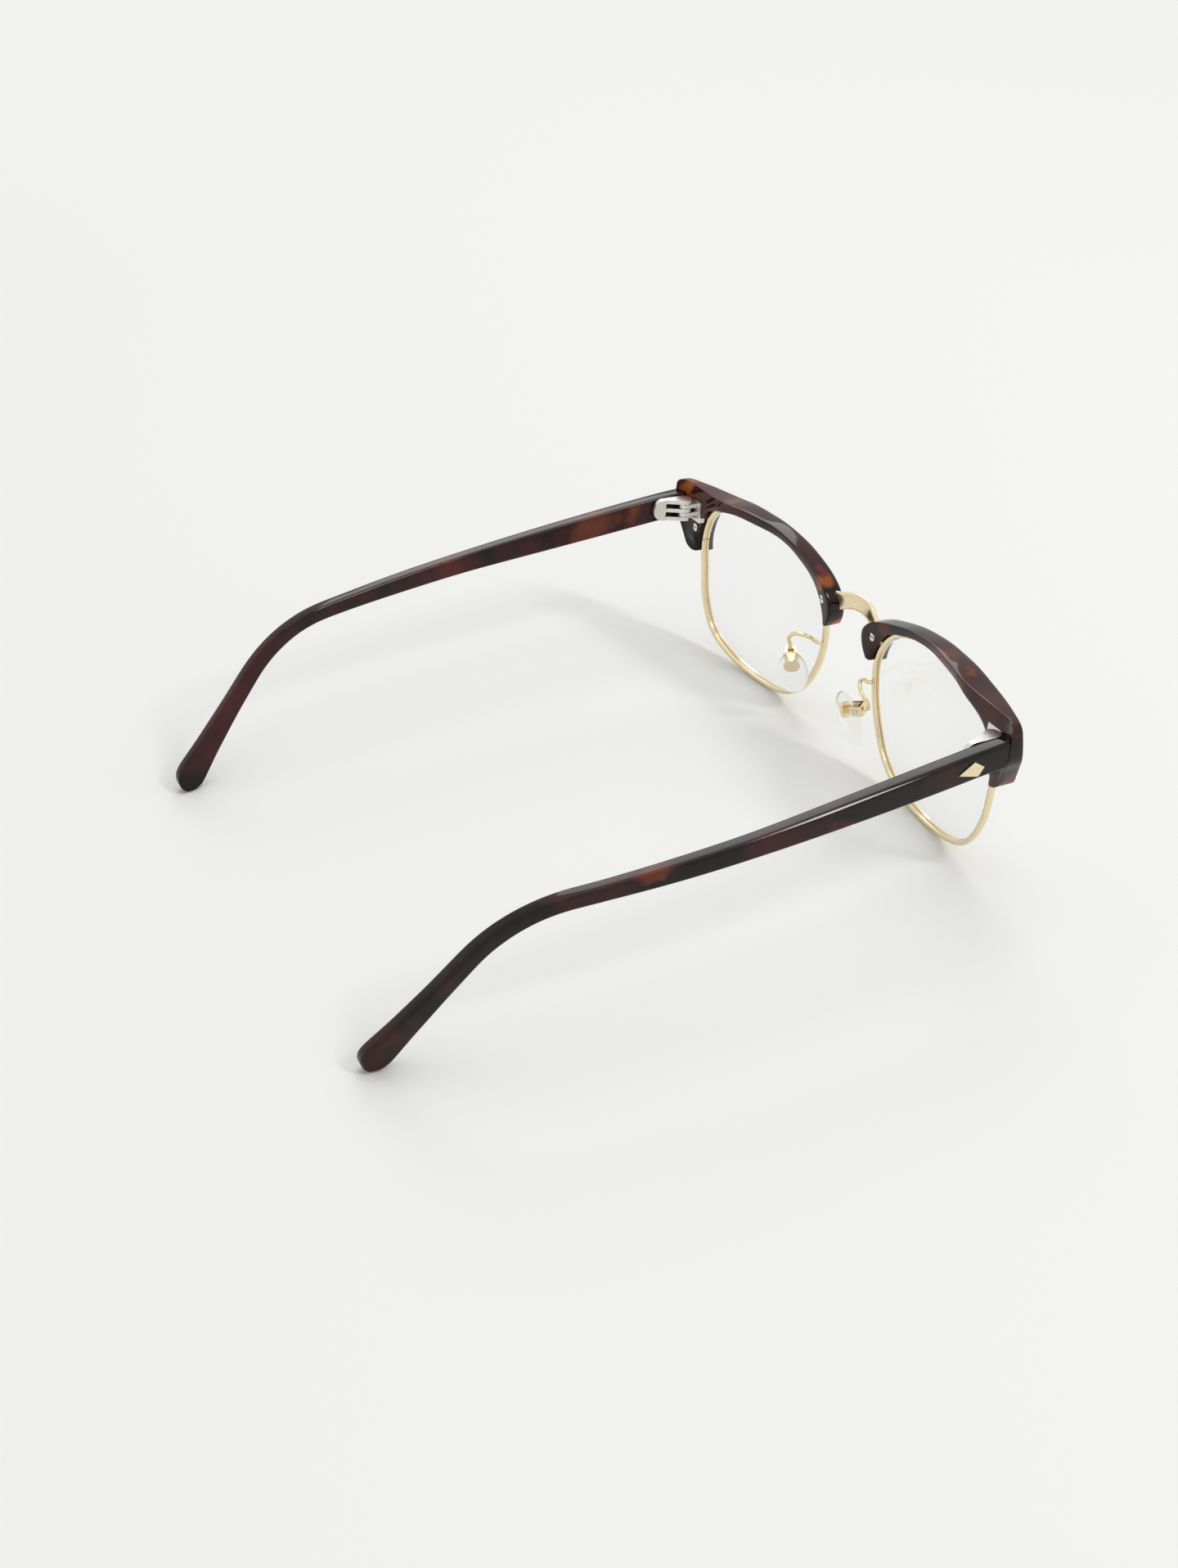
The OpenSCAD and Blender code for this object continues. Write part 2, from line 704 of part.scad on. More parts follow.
// Nose pads: local x points away from the nose, z along the pad, y across it
pad_pivot = [bridge_width / 2 + 3.3, 7.5, 0];
pad_splay = 28;
pad_lean = 20;
pad_flare = 14;
module at_pad() {
    translate(pad_pivot)
        rotate([0, -pad_flare, 0])
            rotate([-pad_lean, 0, 0])
                rotate([0, 0, -pad_splay])
                    children();
}
pad_centre = [-3.1, 0, -2.6];
// Rings as [scale, x]: flat back towards the box, domed face towards the nose
pad_rings = [[0.7, 1], [0.92, 0.75], [1, 0.2], [0.95, -0.35], [0.78, -0.75], [0.45, -0.95]];
pad_sides = 20;
module pad_body() {
    rings = [for (r = pad_rings)
        [for (i = [0 : pad_sides - 1])
            let (a = i * 360 / pad_sides, egg = 1 - 0.12 * sin(a))
            [pad_centre.x + r[1] * pad_thick / 2,
             pad_centre.y + cos(a) * egg * r[0] * pad_width / 2,
             pad_centre.z + sin(a) * r[0] * pad_length / 2]]];
    n = len(rings);
    polyhedron(
        points = flat(rings),
        faces = concat(skin(n, pad_sides, 0),
                       [[for (j = [pad_sides - 1 : -1 : 0]) j]],
                       [[for (j = [0 : pad_sides - 1]) (n - 1) * pad_sides + j]]),
        convexity = 4);
}
core_plate = 0.6;
boss_radius = 0.8;
boss_half = 0.6;
pad_pin_radius = 0.4;
module pad_core_body(grow = 0) {
    translate([pad_centre.x - core_plate / 2 - grow, 0, 0])
        rotate([0, 90, 0])
            cylinder(h = core_plate + 2 * grow, r = 1.9 + grow);
    translate([pad_centre.x, -boss_half - grow, -0.7 - grow])
        cube([-pad_centre.x, 2 * boss_half + 2 * grow, 1.4 + 2 * grow]);
    rotate([90, 0, 0])
        cylinder(h = 2 * boss_half + 2 * grow, r = boss_radius + grow, center = true);
}
module nose_pad_shape() {
    at_pad()
        difference() {
            pad_body();
            pad_core_body(seat_gap);
        }
}
module pad_core_shape() {
    at_pad()
        difference() {
            pad_core_body();
            rotate([90, 0, 0])
                cylinder(h = 4, r = pad_pin_radius + pivot_clearance, center = true);
        }
}
ear_gap = 0.12;
ear_thick = 0.55;
box_half = boss_half + ear_gap + ear_thick;
module pad_screw_shape() {
    at_pad()
        difference() {
            union() {
                rotate([90, 0, 0])
                    cylinder(h = 2 * box_half, r = pad_pin_radius, center = true);
                translate([0, box_half + 0.35, 0])
                    rotate([90, 0, 0])
                        cylinder(h = 0.35, r = 0.7);
            }
            translate([-0.1, box_half + 0.15, -1])
                cube([0.2, 1, 2]);
        }
}
module pad_box_shape() {
    at_pad()
        difference() {
            translate([-1.1, -box_half, -1.3])
                cube([2.9, 2 * box_half, 2.6]);
            translate([-1.1 - cut, -boss_half - ear_gap, -1.3 - cut])
                cube([2.2 + cut, 2 * boss_half + 2 * ear_gap, 2.6 + 2 * cut]);
            rotate([90, 0, 0])
                cylinder(h = 6, r = pad_pin_radius + seat_gap / 2, center = true);
        }
}

// Pad arm: solder foot on the rim, then back, up and over to the box
pad_out = [
    cos(pad_flare) * cos(pad_splay) - sin(pad_flare) * sin(pad_splay) * sin(pad_lean),
    -sin(pad_splay) * cos(pad_lean),
    sin(pad_flare) * cos(pad_splay) + cos(pad_flare) * sin(pad_splay) * sin(pad_lean)
];
foot_flare = 0.2;
arm_radius = 0.5;
foot_angle = 176;
foot_point = at_edge(foot_angle, 0.25, half_depth + seat_gap);
arm_knots = [
    foot_point + [0, 0.1, 0], foot_point + [0.1, 1.3, 0.15], foot_point + [0.7, 3.1, 1.5],
    foot_point + [1.9, 4.9, 2.1], foot_point + [3.4, 6, 1.8], foot_point + [4.8, 6.2, 0.4],
    pad_pivot + [2.7, -0.7, 2.9], pad_pivot + 3 * pad_out, pad_pivot + 1.86 * pad_out
];
arm_last = len(arm_knots) - 1;
function arm_point(s) =
    let (i = min(floor(s), arm_last - 1), f = s - i)
    smooth(arm_knots[max(i - 1, 0)], arm_knots[i], arm_knots[i + 1],
           arm_knots[min(i + 2, arm_last)], f);
function unit(v) = v / norm(v);
arm_rings = 22;
arm_side = [0, -0.6, 0.8];
function arm_ring(s) =
    let (
        d = unit(arm_point(min(s + 0.05, arm_last)) - arm_point(max(s - 0.05, 0))),
        a = unit(cross(d, arm_side)),
        b = cross(d, a),
        c = arm_point(s),
        q = arm_radius + foot_flare * max(0, 1 - s / 0.8)
    )
    [for (i = [0 : 7]) c + q * (cos(i * 45) * a + sin(i * 45) * b)];
module pad_arm_shape() {
    rings = [for (i = [0 : arm_rings - 1]) arm_ring(i * arm_last / (arm_rings - 1))];
    polyhedron(
        points = flat(rings),
        faces = concat(skin(arm_rings, 8, 0, true), [[0, 1, 2, 3, 4, 5, 6, 7]],
                       shifted([[7, 6, 5, 4, 3, 2, 1, 0]], (arm_rings - 1) * 8)),
        convexity = 4);
}

// Lowest points, used to rest the frame on z = 0
rim_low = min([for (i = [0 : 71])
    let (p = at_edge(i * 5, rim_out, 0.62 * half_depth))
    p.y * tilt_sin + p.z * tilt_cos]);
tip_low = min([for (s = temple_stations) path(s).y - half_height(s) * cos(arc_angle(s))]);
lift = -min(rim_low, tip_low);
front_low = min([for (i = [0 : brow_rings - 1])
    for (p = brow_ring(i * knot_last / (brow_rings - 1)))
        p.y * tilt_cos - p.z * tilt_sin]);
tip_back = max([for (s = temple_stations) path(s).x + half_height(s) * sin(arc_angle(s))]);
centre_y = (front_low + tip_back) / 2;

module rested() {
    translate([0, -centre_y, lift])
        children();
}
module tilted() {
    rotate([front_tilt, 0, 0])
        children();
}
module front_left() {
    rested()
        tilted()
            children();
}
module front_right() {
    rested()
        tilted()
            mirror([1, 0, 0])
                children();
}
module side_right() {
    rested()
        mirror([1, 0, 0])
            children();
}

module brow_left() { color(acetate) front_left() brow_shape(); }
module brow_right() { color(acetate) front_right() brow_shape(); }
module rim_left() { color(gold) front_left() rim_shape(); }
module rim_right() { color(gold) front_right() rim_shape(); }
module rim_lock_left() { color(gold) front_left() lock_blocks(); }
module rim_lock_right() { color(gold) front_right() lock_blocks(); }
module lock_screws() {
    color(steel) {
        front_left() lock_screw_shape();
        front_right() lock_screw_shape();
    }
}
module lens_left() { color(clear) front_left() lens_shape(); }
module lens_right() { color(clear) front_right() lens_shape(); }
module bridge() { color(gold) front_left() bridge_shape(); }
module brow_screws() {
    color(steel) {
        front_left() nose_screw_place() brow_screw_shape();
        front_left() lobe_screw_place() brow_screw_shape();
        front_right() nose_screw_place() brow_screw_shape();
        front_right() lobe_screw_place() brow_screw_shape();
    }
}
module pad_arm_left() { color(gold) front_left() pad_arm_shape(); }
module pad_arm_right() { color(gold) front_right() pad_arm_shape(); }
module pad_box_left() { color(gold) front_left() pad_box_shape(); }
module pad_box_right() { color(gold) front_right() pad_box_shape(); }
module pad_screws() {
    color(steel) {
        front_left() pad_screw_shape();
        front_right() pad_screw_shape();
    }
}
module pad_core_left() { color(gold) front_left() pad_core_shape(); }
module pad_core_right() { color(gold) front_right() pad_core_shape(); }
module nose_pad_left() { color(clear) front_left() nose_pad_shape(); }
module nose_pad_right() { color(clear) front_right() nose_pad_shape(); }
module hinge_front_left() { color(steel) front_left() hinge_front_shape(); }
module hinge_front_right() { color(steel) front_right() hinge_front_shape(); }
module hinge_temple_left() { color(steel) front_left() hinge_temple_shape(); }
module hinge_temple_right() { color(steel) front_right() hinge_temple_shape(); }
module hinge_screw_left() { color(steel) front_left() hinge_screw_shape(); }
module hinge_screw_right() { color(steel) front_right() hinge_screw_shape(); }
module temple_left() { color(acetate) rested() temple_shape(); }
module temple_right() { color(acetate) side_right() temple_shape(); }
module temple_core_left() { color(steel) rested() temple_core_shape(); }
module temple_core_right() { color(steel) side_right() temple_core_shape(); }
module plaque_left() { color(gold) rested() plaque_shape(); }
module plaque_right() { color(gold) side_right() plaque_shape(); }

brow_left();
brow_right();
rim_left();
rim_right();
rim_lock_left();
rim_lock_right();
lock_screws();
lens_left();
lens_right();
bridge();
brow_screws();
pad_arm_left();
pad_arm_right();
pad_box_left();
pad_box_right();
pad_screws();
pad_core_left();
pad_core_right();
nose_pad_left();
nose_pad_right();
hinge_front_left();
hinge_front_right();
hinge_temple_left();
hinge_temple_right();
hinge_screw_left();
hinge_screw_right();
temple_left();
temple_right();
temple_core_left();
temple_core_right();
plaque_left();
plaque_right();
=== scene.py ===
"""Looks of the browline glasses: smooth pieces, materials, light, floor and camera."""

import json
import math

import bmesh
import bpy
from mathutils import Matrix, Vector


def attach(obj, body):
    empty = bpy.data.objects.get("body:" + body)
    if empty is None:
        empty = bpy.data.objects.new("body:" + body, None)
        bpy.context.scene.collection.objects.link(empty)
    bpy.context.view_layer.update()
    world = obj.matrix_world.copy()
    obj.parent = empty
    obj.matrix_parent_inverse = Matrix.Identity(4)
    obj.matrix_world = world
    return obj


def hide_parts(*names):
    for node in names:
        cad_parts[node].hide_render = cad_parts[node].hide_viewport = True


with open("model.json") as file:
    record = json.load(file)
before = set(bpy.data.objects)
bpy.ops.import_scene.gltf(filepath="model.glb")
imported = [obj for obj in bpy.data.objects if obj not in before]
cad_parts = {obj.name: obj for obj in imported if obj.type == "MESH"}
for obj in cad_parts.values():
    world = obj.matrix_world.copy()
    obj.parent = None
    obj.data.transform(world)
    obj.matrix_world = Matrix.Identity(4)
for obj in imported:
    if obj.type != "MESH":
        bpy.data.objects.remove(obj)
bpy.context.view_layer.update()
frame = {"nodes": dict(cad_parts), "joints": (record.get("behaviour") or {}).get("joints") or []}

# Sizes in millimetres, in the front's own axes: x across, y back, z up
MM = 0.001
LENS_WIDTH = 49
LENS_HEIGHT = 41
BRIDGE_WIDTH = 21
LENS_CURVE = 114
LENS_WRAP = 4.9
LENS_THICK = 1.8
END_REACH = 8.5
BROW_FRONT = 3.2
BROW_REAR = 4.1
TEMPLE_LENGTH = 150
TEMPLE_THICK = 3.6
TEMPLE_SLOPE = 3
EAR_BEND = 44.5
EAR_RADIUS = 30
TIP_INSET = 12
FRONT_TILT = 3.7
HALF_DEPTH = 0.8
RIM_IN = -0.437
RIM_OUT = 0.713
SEAT_FROM_NOSE = 39.5
SEAT_HEIGHT = 20
PIN_BACK = 2.2
PIN_BELOW_EDGE = 4.9

HINGE = next(j for j in frame["joints"] if j["name"] == "temple_left_fold")
CORNER_X = BRIDGE_WIDTH / 2 + LENS_WIDTH + END_REACH
INNER_X = CORNER_X - TEMPLE_THICK


def smooth(a, b, c, d, f):
    """Point at fraction f of the way from b to c on a smooth curve through all four."""
    def one(p, q, r, s):
        return q + 0.5 * f * (r - p + f * (2 * p - 5 * q + 4 * r - s + f * (3 * (q - r) + s - p)))
    if isinstance(b, (int, float)):
        return one(a, b, c, d)
    return [one(*four) for four in zip(a, b, c, d)]


def along(knots, s):
    """Point at place s on an open smooth curve through the knots, numbered from 0."""
    last = len(knots) - 1
    i = min(int(s), last - 1)
    return smooth(knots[max(i - 1, 0)], knots[i], knots[i + 1], knots[min(i + 2, last)], s - i)


# Lens edge as radii at equal steps of angle round its middle
RADII = [23.9, 25.5, 26.1, 23.3, 20.8, 20.8, 22.6, 24.7, 25.4,
         24.1, 23.0, 22.6, 21.7, 20.6, 20.7, 22.0, 23.9, 24.0]
RADII_STEP = 360 / len(RADII)
SCALE_X = LENS_WIDTH / 48.8
SCALE_Z = LENS_HEIGHT / 41.05
LENS_X = BRIDGE_WIDTH / 2 + LENS_WIDTH / 2
EDGE_MIDDLE = (LENS_X, 2.4 * SCALE_Z)


def edge(angle):
    """Point (x, z) on the lens edge."""
    s = (angle % 360) / RADII_STEP
    i = int(s)
    n = len(RADII)
    r = smooth(RADII[i - 1], RADII[i % n], RADII[(i + 1) % n], RADII[(i + 2) % n], s - i)
    a = math.radians(angle)
    return Vector((EDGE_MIDDLE[0] + r * math.cos(a) * SCALE_X,
                   EDGE_MIDDLE[1] + r * math.sin(a) * SCALE_Z))


def edge_out(angle):
    """Unit direction straight out from the lens edge."""
    d = edge(angle + 1) - edge(angle - 1)
    return Vector((d.y, -d.x)).normalized()


CURVE_X = LENS_X - LENS_CURVE * math.sin(math.radians(LENS_WRAP))
CURVE_Y = LENS_CURVE * math.cos(math.radians(LENS_WRAP))


def curve(x, z, radius=LENS_CURVE):
    """Depth of the curved face that lens, rim and brow follow."""
    return CURVE_Y - math.sqrt(radius ** 2 - (x - CURVE_X) ** 2 - z ** 2)


def at_edge(angle, out, back):
    """Point at a step out from the lens edge and a step behind the curved face."""
    p = edge(angle) + out * edge_out(angle)
    return [p.x, curve(p.x, p.y) + back, p.y]


SEAT_Y = curve(BRIDGE_WIDTH / 2 + SEAT_FROM_NOSE, SEAT_HEIGHT) + BROW_REAR
PIN_Y = SEAT_Y + PIN_BACK
PIN_Z = edge(90).y - PIN_BELOW_EDGE
TILT_COS = math.cos(math.radians(FRONT_TILT))
TILT_SIN = math.sin(math.radians(FRONT_TILT))
PIN_WORLD = (PIN_Y * TILT_COS - PIN_Z * TILT_SIN, PIN_Y * TILT_SIN + PIN_Z * TILT_COS)

# The front's own origin in the frame, found from where the hinge is
ORIGIN = Vector((0, HINGE["pos_m"][1] - PIN_WORLD[0] * MM, HINGE["pos_m"][2] - PIN_WORLD[1] * MM))


def tipped(p):
    """From the front's own axes to upright axes, still in millimetres."""
    return [p[0], p[1] * TILT_COS - p[2] * TILT_SIN, p[1] * TILT_SIN + p[2] * TILT_COS]


def placed(p, side):
    """From upright millimetres to the frame, side 1 for the left and -1 for the right."""
    return Vector((side * p[0] * MM, p[1] * MM, p[2] * MM)) + ORIGIN


def mesh_piece(name, verts, faces, material, levels=0, sharp=None):
    """New object from vertices in metres, with smooth shading and optional subdivision."""
    mesh = bpy.data.meshes.new(name)
    mesh.from_pydata([tuple(v) for v in verts], [], faces)
    bm = bmesh.new()
    bm.from_mesh(mesh)
    bmesh.ops.recalc_face_normals(bm, faces=bm.faces)
    bm.to_mesh(mesh)
    bm.free()
    mesh.materials.append(material)
    mesh.shade_smooth()
    if sharp:
        mesh.set_sharp_from_angle(angle=math.radians(sharp))
    piece = bpy.data.objects.new(name, mesh)
    bpy.context.scene.collection.objects.link(piece)
    if levels:
        mod = piece.modifiers.new("smooth", "SUBSURF")
        mod.levels = levels
        mod.render_levels = levels
        bake(piece)
    return piece


def bake(piece):
    """Turns a piece's modifiers into plain mesh."""
    bpy.context.view_layer.update()
    graph = bpy.context.evaluated_depsgraph_get()
    mesh = bpy.data.meshes.new_from_object(piece.evaluated_get(graph))
    piece.modifiers.clear()
    piece.data = mesh


def swept(rings, caps=None):
    """Faces between equal rings of points.

    caps is a list of faces on one ring, or None for one flat cap.
    """
    n = len(rings)
    m = len(rings[0])
    verts = [p for ring in rings for p in ring]
    faces = []
    for i in range(n - 1):
        for j in range(m):
            k = (j + 1) % m
            faces.append((i * m + j, i * m + k, (i + 1) * m + k, (i + 1) * m + j))
    ends = caps or [list(range(m))]
    faces += [tuple(f) for f in ends]
    faces += [tuple((n - 1) * m + v for v in reversed(f)) for f in ends]
    return verts, faces


def finish_piece(piece, body, slot, *nodes):
    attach(piece, body)
    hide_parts(*nodes)


# Materials

def new_material(name):
    mat = bpy.data.materials.new(name)
    mat.use_nodes = True
    tree = mat.node_tree
    return mat, tree, tree.nodes["Principled BSDF"]


def add_node(tree, kind, **values):
    node = tree.nodes.new(kind)
    for key, value in values.items():
        setattr(node, key, value)
    return node


def object_place(tree, scale=(1, 1, 1)):
    """Object coordinates, in metres, stretched by scale."""
    place = add_node(tree, "ShaderNodeTexCoord")
    mapping = add_node(tree, "ShaderNodeMapping")
    mapping.inputs["Scale"].default_value = scale
    tree.links.new(place.outputs["Object"], mapping.inputs["Vector"])
    return mapping.outputs["Vector"]


def noise_at(tree, where, scale, detail=3, distortion=0.0):
    node = add_node(tree, "ShaderNodeTexNoise")
    node.inputs["Scale"].default_value = scale
    node.inputs["Detail"].default_value = detail
    node.inputs["Distortion"].default_value = distortion
    tree.links.new(where, node.inputs["Vector"])
    return node


def ramp(tree, source, stops):
    node = add_node(tree, "ShaderNodeValToRGB")
    elements = node.color_ramp.elements
    while len(elements) < len(stops):
        elements.new(0.5)
    for element, (place, colour) in zip(elements, stops):
        element.position = place
        element.color = (*colour, 1)
    tree.links.new(source, node.inputs["Fac"])
    return node.outputs["Color"]


def math_node(tree, operation, a, b):
    node = add_node(tree, "ShaderNodeMath", operation=operation)
    for socket, value in zip(node.inputs, (a, b)):
        if isinstance(value, (int, float)):
            socket.default_value = value
        else:
            tree.links.new(value, socket)
    return node.outputs[0]


def mixed(tree, factor, a, b):
    node = add_node(tree, "ShaderNodeMix", data_type="RGBA")
    tree.links.new(factor, node.inputs["Factor"])
    for socket, value in ((node.inputs["A"], a), (node.inputs["B"], b)):
        if isinstance(value, tuple):
            socket.default_value = (*value, 1)
        else:
            tree.links.new(value, socket)
    return node.outputs["Result"]


def add_bump(tree, shader, height, strength, distance):
    bump = add_node(tree, "ShaderNodeBump")
    bump.inputs["Strength"].default_value = strength
    bump.inputs["Distance"].default_value = distance
    tree.links.new(height, bump.inputs["Height"])
    tree.links.new(bump.outputs["Normal"], shader.inputs["Normal"])


DARK = (0.005, 0.0018, 0.0018)
MAROON = (0.034, 0.0055, 0.005)
DEEP_RED = (0.06, 0.009, 0.006)
RED_BROWN = (0.075, 0.0105, 0.006)
AMBER = (0.5, 0.13, 0.012)


# How far the edge of a patch wanders, in metres
PATCH_WOBBLE = 0.009


def tortoise(name, dark_share, patches):
    """Dark acetate with soft maroon clouds and patches.

    A patch is x, y, z and radius in mm, and its share of amber, or less than 0 for a dark one.
    """
    mat, tree, shader = new_material(name)
    place = object_place(tree)
    clouds = noise_at(tree, place, 55, detail=4, distortion=0.6)
    colour = ramp(tree, clouds.outputs["Fac"],
                  [(dark_share - 0.08, DARK), (dark_share + 0.06, MAROON), (dark_share + 0.2, DEEP_RED)])
    ragged = noise_at(tree, place, 210, detail=3, distortion=0.4)
    centred = math_node(tree, "SUBTRACT", ragged.outputs["Fac"], 0.5)
    wobble = math_node(tree, "MULTIPLY", centred, PATCH_WOBBLE)
    for x, y, z, radius, amber in patches:
        apart = add_node(tree, "ShaderNodeVectorMath", operation="DISTANCE")
        tree.links.new(place, apart.inputs[0])
        apart.inputs[1].default_value = (x * MM, y * MM, z * MM)
        reach = math_node(tree, "ADD", apart.outputs["Value"], wobble)
        level = add_node(tree, "ShaderNodeMapRange", interpolation_type="SMOOTHSTEP")
        level.inputs["From Min"].default_value = radius * MM
        level.inputs["From Max"].default_value = radius * MM * 0.25
        tree.links.new(reach, level.inputs["Value"])
        patch = DARK
        if amber >= 0:
            patch = tuple(r + amber * (a - r) for r, a in zip(RED_BROWN, AMBER))
        colour = mixed(tree, level.outputs["Result"], colour, patch)
    tree.links.new(colour, shader.inputs["Base Color"])
    shader.inputs["Roughness"].default_value = 0.07
    shader.inputs["IOR"].default_value = 1.48
    shader.inputs["Specular IOR Level"].default_value = 0.3
    fine = noise_at(tree, place, 900, detail=2)
    add_bump(tree, shader, fine.outputs["Fac"], 0.03, 0.00005)
    return mat


def metal(name, colour, rough, bump):
    mat, tree, shader = new_material(name)
    place = object_place(tree)
    grain = noise_at(tree, place, 1400, detail=2)
    tint = ramp(tree, grain.outputs["Fac"],
                [(0.3, tuple(0.94 * c for c in colour)), (0.7, colour)])
    tree.links.new(tint, shader.inputs["Base Color"])
    shader.inputs["Metallic"].default_value = 1
    level = add_node(tree, "ShaderNodeMapRange")
    level.inputs["To Min"].default_value = rough * 0.8
    level.inputs["To Max"].default_value = rough * 1.25
    tree.links.new(grain.outputs["Fac"], level.inputs["Value"])
    tree.links.new(level.outputs["Result"], shader.inputs["Roughness"])
    add_bump(tree, shader, grain.outputs["Fac"], bump, 0.00003)
    return mat


def see_through(name, colour, rough, ior, coat=0.0):
    mat, tree, shader = new_material(name)
    place = object_place(tree)
    haze = noise_at(tree, place, 120, detail=2)
    tint = ramp(tree, haze.outputs["Fac"], [(0.3, tuple(0.992 * c for c in colour)), (0.7, colour)])
    tree.links.new(tint, shader.inputs["Base Color"])
    shader.inputs["Roughness"].default_value = rough
    shader.inputs["IOR"].default_value = ior
    shader.inputs["Transmission Weight"].default_value = 1
    shader.inputs["Coat Weight"].default_value = coat
    shader.inputs["Coat Roughness"].default_value = 0.01
    return mat


# Patches in the acetate, as tortoise() takes them, in millimetres of the frame
PATCHES_RIGHT_TEMPLE = [(-67, 18, 36, 4, 0.1), (-68.5, -22, 32, 3.5, 0)]
PATCHES_LEFT_TEMPLE = [(65, -38, 36, 8, 0.1), (65, -50, 38, 4, 0.15), (65, 0, 34, 6, 0)]
PATCHES_BROWS = [
    (65, -66, 41, 3.8, 0.6), (61, -65, 37, 3.2, 0.05), (48, -69, 44.5, 2.6, 0.45),
    (11, -71, 38, 2.4, 0.45), (15, -71, 38.5, 3, 0.05), (8.5, -74, 29, 3.2, 1.0),
    (-14, -71, 39, 3, 0.02), (-38, -70, 43, 4, 0.06), (-46, -69, 43, 2.5, 0.12),
    (-64, -67, 29, 3, 0.12), (-68, -68, 37, 7, -1)
]
BROW_MATERIAL = tortoise("brow_tortoise", 0.44, PATCHES_BROWS)
TEMPLE_MATERIAL = {
    1: tortoise("left_temple_tortoise", 0.52, PATCHES_LEFT_TEMPLE),
    -1: tortoise("right_temple_tortoise", 0.52, PATCHES_RIGHT_TEMPLE)
}
GOLD = metal("pale_gold", (0.9, 0.76, 0.5), 0.15, 0.03)
SILVER = metal("hinge_silver", (0.76, 0.74, 0.7), 0.3, 0.015)
# The lens barely bends light, as a flat lens does, and its coat carries the reflections
CLEAR_LENS = see_through("clear_lens", (0.985, 0.99, 0.99), 0.0, 1.01, coat=0.8)
CLEAR_PAD = see_through("clear_pad", (0.97, 0.975, 0.975), 0.03, 1.14, coat=0.9)

# Brow: each row is an angle on the lens edge and the step from there to the outer edge
BROW_KNOTS = [
    [164, -2.4, 0.2], [160, -3.9, 0.5], [155, -5.3, 0.9], [149, -6.4, 1.2], [144, -5.8, 1.9],
    [136, -4.8, 1.6], [127, -3.4, 1.4], [113, -2.0, 1.7], [96, -0.3, 2.4], [76, -0.1, 2.6],
    [60, 0.8, 2.6], [50, 3.5, 3.2], [41, 6.4, 5.0], [36.5, 8.9, 6.4], [34.5, 10.2, 6.8],
    [33, 10.7, 6.5], [31, 10.4, 5.9], [27, 9.8, 5.3], [22, 8.9, 4.2], [18, 7.2, 3.2],
    [15, 5.9, 1.7], [12, 4.6, 0.4], [10, 2.2, 0.1]
]
BROW_CAP = [[0, 1, 2, 13], [2, 3, 13], [3, 12, 13], [3, 4, 5, 6, 12], [6, 7, 8, 12],
            [8, 9, 12], [9, 10, 11, 12]]
MITRE_RISE = 2 / TEMPLE_THICK
MITRE_GAP = 0.07
RIM_CLEAR = 0.1
REAR_CLEAR = 0.3
NOSE_DEPTH = 1.8
LOBE_DEPTH = 2.1

# Between these angles a rear lip covers the rim, and comes and goes over COVER_BLEND degrees
COVER_START = 34
COVER_END = 142
COVER_BLEND = 14
LIP_IN = 0.05

# From this angle on the outer corners grow softer, over SOFT_BLEND degrees
SOFT_START = 42
SOFT_BLEND = 30


def rear_depth(angle, x, z):
    """Rear face of the brow: thin at the nose, flat at the hinge, rising along the mitre."""
    if angle > 100:
        k = NOSE_DEPTH
    elif angle > 50:
        k = NOSE_DEPTH + (100 - angle) * (BROW_REAR - NOSE_DEPTH) / 50
    elif angle > 24:
        k = BROW_REAR
    else:
        k = LOBE_DEPTH + max(angle - 14, 0) * (BROW_REAR - LOBE_DEPTH) / 10
    return min(SEAT_Y, curve(x, z) + k) + max(0, x - INNER_X) * MITRE_RISE


def share(value):
    """The value, held between 0 and 1."""
    return min(1, max(0, value))


def brow_ring(s):
    """Section of the brow at place s on its knots, as points in the front's own axes."""
    angle, step_x, step_z = along(BROW_KNOTS, s)
    p = edge(angle)
    d = Vector((step_x, step_z))
    h = d.length
    d.normalize()
    skew = 1 / max(0.6, d.dot(edge_out(angle)))
    inner = min((RIM_OUT + RIM_CLEAR) * skew, h - 0.7)
    low = min((RIM_OUT + REAR_CLEAR) * skew, h - 0.75)
    cover = share((angle - COVER_START) / COVER_BLEND) * share((COVER_END - angle) / COVER_BLEND)
    low += cover * (LIP_IN - low)
    front_in = -HALF_DEPTH - RIM_CLEAR
    reach = (min(p.x + d.x * h, INNER_X) - p.x) / d.x if d.x > 0.2 else h * 0.6
    middle = max(low + 0.2, min(h - 0.35, reach))
    soft = share((angle - SOFT_START) / SOFT_BLEND)
    chamfer = 0.08 + 0.06 * soft

    def at(out, back):
        q = p + out * d
        return [q.x, curve(q.x, q.y) + back, q.y]

    def rear(out, forward):
        q = p + out * d
        return [q.x, rear_depth(angle, q.x, q.y) - forward, q.y]

    return [
        at(0.1, front_in), at(0.2, -BROW_FRONT + 0.7), at(0.6, -BROW_FRONT),
        at(h - 0.45 - 0.35 * soft, -BROW_FRONT),
        at(h - 0.1 - 0.1 * soft, -BROW_FRONT + 0.12 + 0.3 * soft),
        at(h, -BROW_FRONT + 0.5 + 0.5 * soft),
        rear(h, 2 * chamfer), rear(h - chamfer, 0), rear(middle, 0), rear(low + 0.15, 0),
        rear(low, 0.35),
        at(low, -front_in), at(inner, -front_in), at(inner, front_in)
    ]


